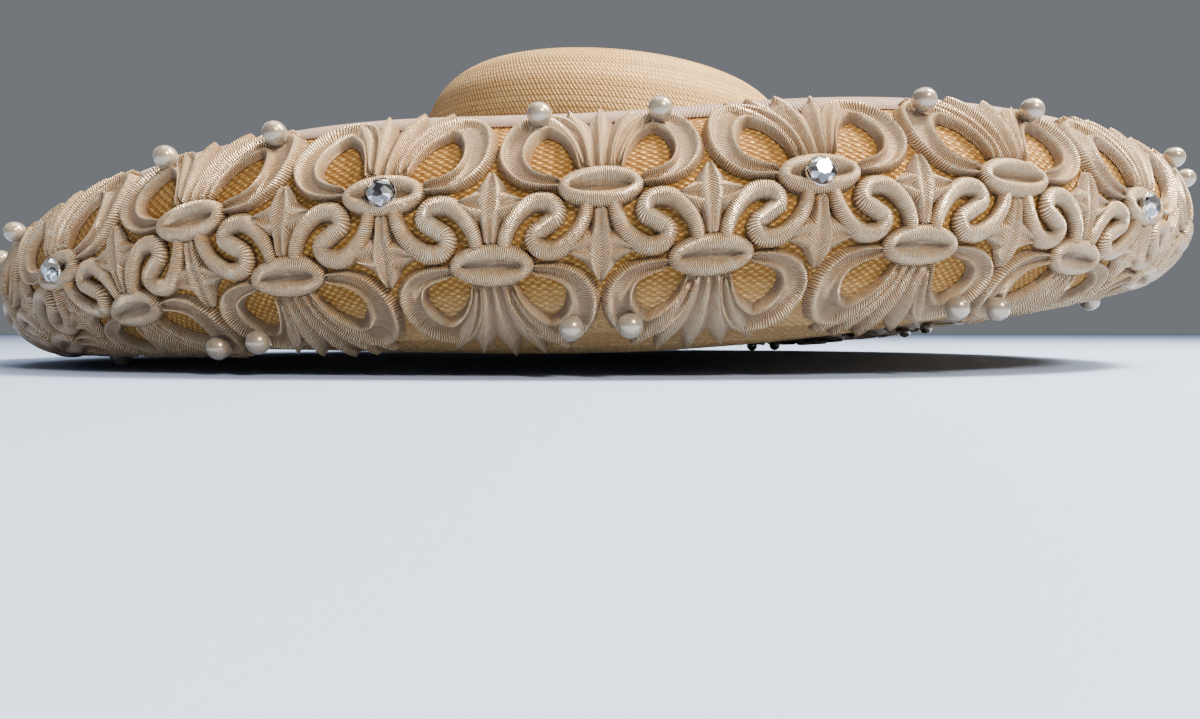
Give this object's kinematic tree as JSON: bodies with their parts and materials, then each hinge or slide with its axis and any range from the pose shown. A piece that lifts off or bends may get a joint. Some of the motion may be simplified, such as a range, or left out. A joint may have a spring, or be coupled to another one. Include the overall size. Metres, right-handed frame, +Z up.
{
  "type": "rolled-brim straw hat",
  "caption": "Wide-brimmed straw hat: oval crown, edge rolled up all round, pierced lace band wrapped round the roll and sewn with pearls and crystals.",
  "frame": {"origin": "on the table, under the middle of the hat's overall box", "axes": "+X towards the side where the brim sweeps up, -Y towards the wearer's face, +Z up from the table on which the brim rests"},
  "size_m": [0.515, 0.4332, 0.1272],
  "materials": {
    "straw": "fine sewn straw braid, satin",
    "ribbon": "ribbed ribbon, matt",
    "sweatband": "ribbed ribbon, matt",
    "lace": "satin-stitched thread, silky",
    "pearl": "pearl lacquer, glossy",
    "crystal": "cut and foil-backed, polished",
    "setting": "polished cup"
  },
  "bodies": {
    "root": {"brim": "straw", "crown": "straw", "sweatband": "sweatband", "edge_binding": "ribbon", "lace_band": "lace", "crystal_01": "crystal", "crystal_02": "crystal", "crystal_03": "crystal", "crystal_04": "crystal", "crystal_05": "crystal", "crystal_06": "crystal", "crystal_07": "crystal", "crystal_08": "crystal", "crystal_09": "crystal", "crystal_10": "crystal", "crystal_11": "crystal", "crystal_12": "crystal"}
  },
  "joints": []
}
